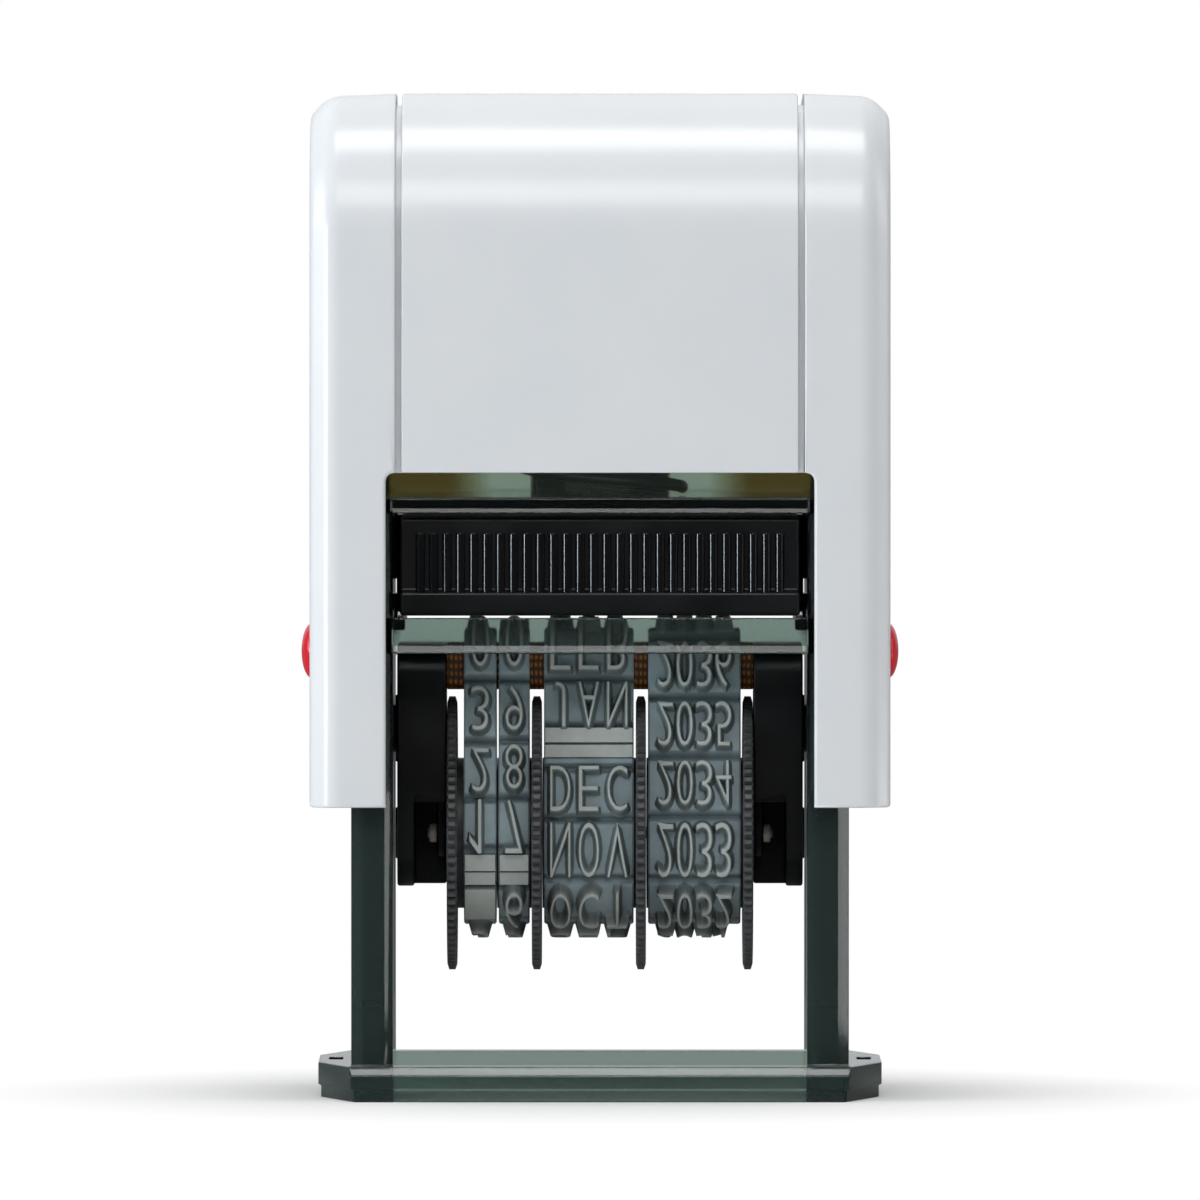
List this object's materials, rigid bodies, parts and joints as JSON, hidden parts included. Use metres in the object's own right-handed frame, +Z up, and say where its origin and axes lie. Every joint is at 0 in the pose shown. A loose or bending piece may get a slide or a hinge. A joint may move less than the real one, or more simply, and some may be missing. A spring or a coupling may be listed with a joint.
{
  "type": "self-inking date stamp",
  "caption": "Self-inking date stamp: a sprung cap plunges over a clear frame and flips a carrier of rubber date bands with thumb wheels from the ink pad down to the paper.",
  "frame": {"origin": "middle of the foot's underside, on the paper", "axes": "+Z up along the cap's travel, +X to the right as seen from the front, -Y to the front with the drawer's face"},
  "size_m": [0.0524, 0.033, 0.0878],
  "materials": {
    "white_plastic": "glossy cool white moulding",
    "smoky_clear": "smoky translucent moulding, polished",
    "black_plastic": "fine satin black moulding",
    "band_rubber": "matte grey-blue rubber",
    "red_plastic": "glossy red moulding",
    "steel": "bright drawn rod",
    "spring_steel": "dull spring wire",
    "laminate": "brown woven laminate",
    "felt": "ink-soaked felt"
  },
  "bodies": {
    "base": {"base_frame": "smoky_clear", "return_spring": "spring_steel"},
    "drawer": {"pad_tray": "black_plastic", "ink_pad": "felt"},
    "cap": {"cap_shell": "white_plastic", "centre_cover": "white_plastic"},
    "left_lock": {"left_button": "red_plastic"},
    "right_lock": {"right_button": "red_plastic"},
    "carrier": {"left_carrier_plate": "black_plastic", "right_carrier_plate": "black_plastic", "platen_bar": "laminate", "left_pivot_pin": "black_plastic", "right_pivot_pin": "black_plastic", "wheel_axle": "steel", "axle_clips": "steel", "tens_band": "band_rubber", "units_band": "band_rubber", "month_band": "band_rubber", "year_band": "band_rubber"},
    "tens_wheel_body": {"tens_wheel": "black_plastic"},
    "units_wheel_body": {"units_wheel": "black_plastic"},
    "month_wheel_body": {"month_wheel": "black_plastic"},
    "year_wheel_body": {"year_wheel": "black_plastic"}
  },
  "joints": [
    {"name": "cap_plunge", "type": "slide", "parent": "base", "child": "cap", "axis": [0, 0, 1], "range_m": [-0.0222, 0], "stiffness_N_per_m": 350, "springref_m": 0.012, "deforming": ["return_spring"]},
    {"name": "carrier_flip", "type": "hinge", "parent": "cap", "child": "carrier", "pos_m": [0, 0, 0.0321], "axis": [1, 0, 0], "range_deg": [0, 180]},
    {"name": "pad_slide", "type": "slide", "parent": "base", "child": "drawer", "axis": [0, -1, 0], "range_m": [0, 0.024]},
    {"name": "left_press", "type": "slide", "parent": "cap", "child": "left_lock", "axis": [1, 0, 0], "range_m": [0, 0.0006], "stiffness_N_per_m": 800, "springref_m": -0.0005},
    {"name": "right_press", "type": "slide", "parent": "cap", "child": "right_lock", "axis": [-1, 0, 0], "range_m": [0, 0.0006], "stiffness_N_per_m": 800, "springref_m": -0.0005},
    {"name": "tens_wheel_turn", "type": "hinge", "parent": "carrier", "child": "tens_wheel_body", "pos_m": [0, 0, 0.0229], "axis": [1, 0, 0], "continuous": true},
    {"name": "units_wheel_turn", "type": "hinge", "parent": "carrier", "child": "units_wheel_body", "pos_m": [0, 0, 0.0229], "axis": [1, 0, 0], "continuous": true},
    {"name": "month_wheel_turn", "type": "hinge", "parent": "carrier", "child": "month_wheel_body", "pos_m": [0, 0, 0.0229], "axis": [1, 0, 0], "continuous": true},
    {"name": "year_wheel_turn", "type": "hinge", "parent": "carrier", "child": "year_wheel_body", "pos_m": [0, 0, 0.0229], "axis": [1, 0, 0], "continuous": true}
  ],
  "couplings": [
    {"joint": "carrier_flip", "follows": "cap_plunge", "rad_per_m": -141.51}
  ]
}
